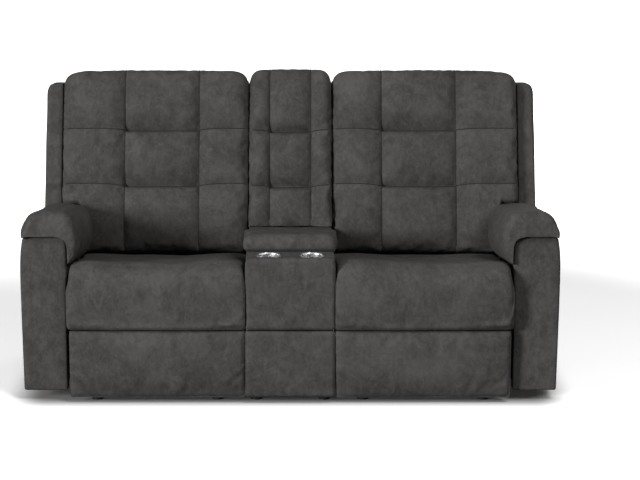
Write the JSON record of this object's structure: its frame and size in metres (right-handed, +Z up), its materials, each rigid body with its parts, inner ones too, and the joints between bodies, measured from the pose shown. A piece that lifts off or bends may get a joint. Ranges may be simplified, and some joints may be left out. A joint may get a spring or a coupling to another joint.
{
  "type": "power reclining loveseat",
  "caption": "Power reclining loveseat with padded arms, tufted backs, folding footrests and a storage console with cup holders between the seats.",
  "frame": {"origin": "on the floor, in the middle of the overall width and depth", "axes": "+Z up, the seats face -Y, +X to the right of somebody who looks along +Y at the front of the sofa; x = 0 is the plane of symmetry"},
  "size_m": [1.905, 1.0404, 1.088],
  "materials": {
    "upholstery": "dark charcoal sueded cover with a soft mottled nap, padded",
    "frame_wood": "unfinished plywood and sawn board",
    "mechanism_steel": "satin dark grey paint",
    "bright_steel": "brushed stainless and zinc plated steel",
    "black_plastic": "fine matt black plastic"
  },
  "bodies": {
    "root": {"left_arm_frame": "frame_wood", "right_arm_frame": "frame_wood", "left_arm_panel": "upholstery", "right_arm_panel": "upholstery", "left_arm_pad": "upholstery", "right_arm_pad": "upholstery", "mechanism_base": "mechanism_steel", "glides": "black_plastic", "left_seat_frame": "frame_wood", "right_seat_frame": "frame_wood", "seat_springs": "bright_steel", "left_seat_cushion": "upholstery", "right_seat_cushion": "upholstery", "console_box": "frame_wood", "console_front_pads": "upholstery", "console_deck": "upholstery", "cup_holders": "bright_steel", "console_bin": "black_plastic", "console_back_frame": "frame_wood", "console_back_cushion": "upholstery", "console_back_shell": "upholstery", "control_plates": "black_plastic", "power_supply": "black_plastic", "left_foot_actuator": "black_plastic", "right_foot_actuator": "black_plastic", "left_back_actuator": "black_plastic", "right_back_actuator": "black_plastic", "lid_hinge": "bright_steel"},
    "console_lid": {"console_lid_board": "frame_wood", "console_lid_pad": "upholstery"},
    "left_foot_drive": {"left_drive_tube": "mechanism_steel"},
    "left_extension": {"left_extension_links": "mechanism_steel"},
    "left_footrest": {"left_footrest_board": "frame_wood", "left_footrest_pad": "upholstery"},
    "left_control": {"left_control_links": "mechanism_steel"},
    "left_carrier": {"left_carrier_links": "mechanism_steel"},
    "left_foot_nut": {"left_foot_nut": "bright_steel"},
    "left_back": {"left_back_carrier": "mechanism_steel", "left_back_frame": "frame_wood", "left_back_cushion": "upholstery", "left_back_wing": "upholstery", "left_back_shell": "upholstery"},
    "left_back_nut": {"left_back_nut": "bright_steel"},
    "left_foot_rocker": {"left_foot_rocker": "black_plastic"},
    "left_back_rocker": {"left_back_rocker": "black_plastic"},
    "right_foot_drive": {"right_drive_tube": "mechanism_steel"},
    "right_extension": {"right_extension_links": "mechanism_steel"},
    "right_footrest": {"right_footrest_board": "frame_wood", "right_footrest_pad": "upholstery"},
    "right_control": {"right_control_links": "mechanism_steel"},
    "right_carrier": {"right_carrier_links": "mechanism_steel"},
    "right_foot_nut": {"right_foot_nut": "bright_steel"},
    "right_back": {"right_back_carrier": "mechanism_steel", "right_back_frame": "frame_wood", "right_back_cushion": "upholstery", "right_back_wing": "upholstery", "right_back_shell": "upholstery"},
    "right_back_nut": {"right_back_nut": "bright_steel"},
    "right_foot_rocker": {"right_foot_rocker": "black_plastic"},
    "right_back_rocker": {"right_back_rocker": "black_plastic"}
  },
  "joints": [
    {"name": "console_lid", "type": "hinge", "parent": "root", "child": "console_lid", "pos_m": [0, -0.01517, 0.528], "axis": [-1, 0, 0], "range_deg": [0, 85]},
    {"name": "left_footrest_lift", "type": "hinge", "parent": "root", "child": "left_foot_drive", "pos_m": [0, -0.40017, 0.245], "axis": [-1, 0, 0], "range_deg": [0, 90]},
    {"name": "left_extension_pivot", "type": "hinge", "parent": "left_foot_drive", "child": "left_extension", "pos_m": [0, -0.40017, 0.05], "axis": [-1, 0, 0], "range_deg": [-126, 0]},
    {"name": "left_footrest_tilt", "type": "hinge", "parent": "left_extension", "child": "left_footrest", "pos_m": [0, -0.43717, 0.223], "axis": [-1, 0, 0], "range_deg": [0, 126]},
    {"name": "left_control_pivot", "type": "hinge", "parent": "root", "child": "left_control", "pos_m": [0, -0.33917, 0.262], "axis": [-1, 0, 0], "range_deg": [0, 83.97]},
    {"name": "left_carrier_pivot", "type": "hinge", "parent": "left_foot_drive", "child": "left_carrier", "pos_m": [0, -0.39417, 0.0845], "axis": [-1, 0, 0], "range_deg": [-126, 0]},
    {"name": "left_foot_nut_slide", "type": "slide", "parent": "root", "child": "left_foot_nut", "axis": [0, -1, 0], "range_m": [0, 0.1275]},
    {"name": "left_recline", "type": "hinge", "parent": "root", "child": "left_back", "pos_m": [0, 0.15983, 0.34], "axis": [-1, 0, 0], "range_deg": [0, 35]},
    {"name": "left_back_nut_slide", "type": "slide", "parent": "root", "child": "left_back_nut", "axis": [0, -1, 0], "range_m": [0, 0.0601]},
    {"name": "left_foot_rocker", "type": "hinge", "parent": "root", "child": "left_foot_rocker", "pos_m": [-0.9429, -0.27217, 0.455], "axis": [0, 0, 1], "range_deg": [-7, 7], "stiffness_Nm_per_rad": 0.06},
    {"name": "left_back_rocker", "type": "hinge", "parent": "root", "child": "left_back_rocker", "pos_m": [-0.9429, -0.22817, 0.455], "axis": [0, 0, 1], "range_deg": [-7, 7], "stiffness_Nm_per_rad": 0.06},
    {"name": "right_footrest_lift", "type": "hinge", "parent": "root", "child": "right_foot_drive", "pos_m": [0, -0.40017, 0.245], "axis": [-1, 0, 0], "range_deg": [0, 90]},
    {"name": "right_extension_pivot", "type": "hinge", "parent": "right_foot_drive", "child": "right_extension", "pos_m": [0, -0.40017, 0.05], "axis": [-1, 0, 0], "range_deg": [-126, 0]},
    {"name": "right_footrest_tilt", "type": "hinge", "parent": "right_extension", "child": "right_footrest", "pos_m": [0, -0.43717, 0.223], "axis": [-1, 0, 0], "range_deg": [0, 126]},
    {"name": "right_control_pivot", "type": "hinge", "parent": "root", "child": "right_control", "pos_m": [0, -0.33917, 0.262], "axis": [-1, 0, 0], "range_deg": [0, 83.97]},
    {"name": "right_carrier_pivot", "type": "hinge", "parent": "right_foot_drive", "child": "right_carrier", "pos_m": [0, -0.39417, 0.0845], "axis": [-1, 0, 0], "range_deg": [-126, 0]},
    {"name": "right_foot_nut_slide", "type": "slide", "parent": "root", "child": "right_foot_nut", "axis": [0, -1, 0], "range_m": [0, 0.1275]},
    {"name": "right_recline", "type": "hinge", "parent": "root", "child": "right_back", "pos_m": [0, 0.15983, 0.34], "axis": [-1, 0, 0], "range_deg": [0, 35]},
    {"name": "right_back_nut_slide", "type": "slide", "parent": "root", "child": "right_back_nut", "axis": [0, -1, 0], "range_m": [0, 0.0601]},
    {"name": "right_foot_rocker", "type": "hinge", "parent": "root", "child": "right_foot_rocker", "pos_m": [0.9429, -0.27217, 0.455], "axis": [0, 0, 1], "range_deg": [-7, 7], "stiffness_Nm_per_rad": 0.06},
    {"name": "right_back_rocker", "type": "hinge", "parent": "root", "child": "right_back_rocker", "pos_m": [0.9429, -0.22817, 0.455], "axis": [0, 0, 1], "range_deg": [-7, 7], "stiffness_Nm_per_rad": 0.06}
  ],
  "couplings": [
    {"joint": "left_extension_pivot", "follows": "left_footrest_lift", "ratio": -1.4},
    {"joint": "left_footrest_tilt", "follows": "left_footrest_lift", "ratio": 1.4},
    {"joint": "left_control_pivot", "follows": "left_footrest_lift", "ratio": 0.933},
    {"joint": "left_carrier_pivot", "follows": "left_footrest_lift", "ratio": -1.4},
    {"joint": "left_foot_nut_slide", "follows": "left_footrest_lift", "m_per_rad": 0.081029},
    {"joint": "left_back_nut_slide", "follows": "left_recline", "m_per_rad": 0.0982},
    {"joint": "right_extension_pivot", "follows": "right_footrest_lift", "ratio": -1.4},
    {"joint": "right_footrest_tilt", "follows": "right_footrest_lift", "ratio": 1.4},
    {"joint": "right_control_pivot", "follows": "right_footrest_lift", "ratio": 0.933},
    {"joint": "right_carrier_pivot", "follows": "right_footrest_lift", "ratio": -1.4},
    {"joint": "right_foot_nut_slide", "follows": "right_footrest_lift", "m_per_rad": 0.081029},
    {"joint": "right_back_nut_slide", "follows": "right_recline", "m_per_rad": 0.0982}
  ]
}
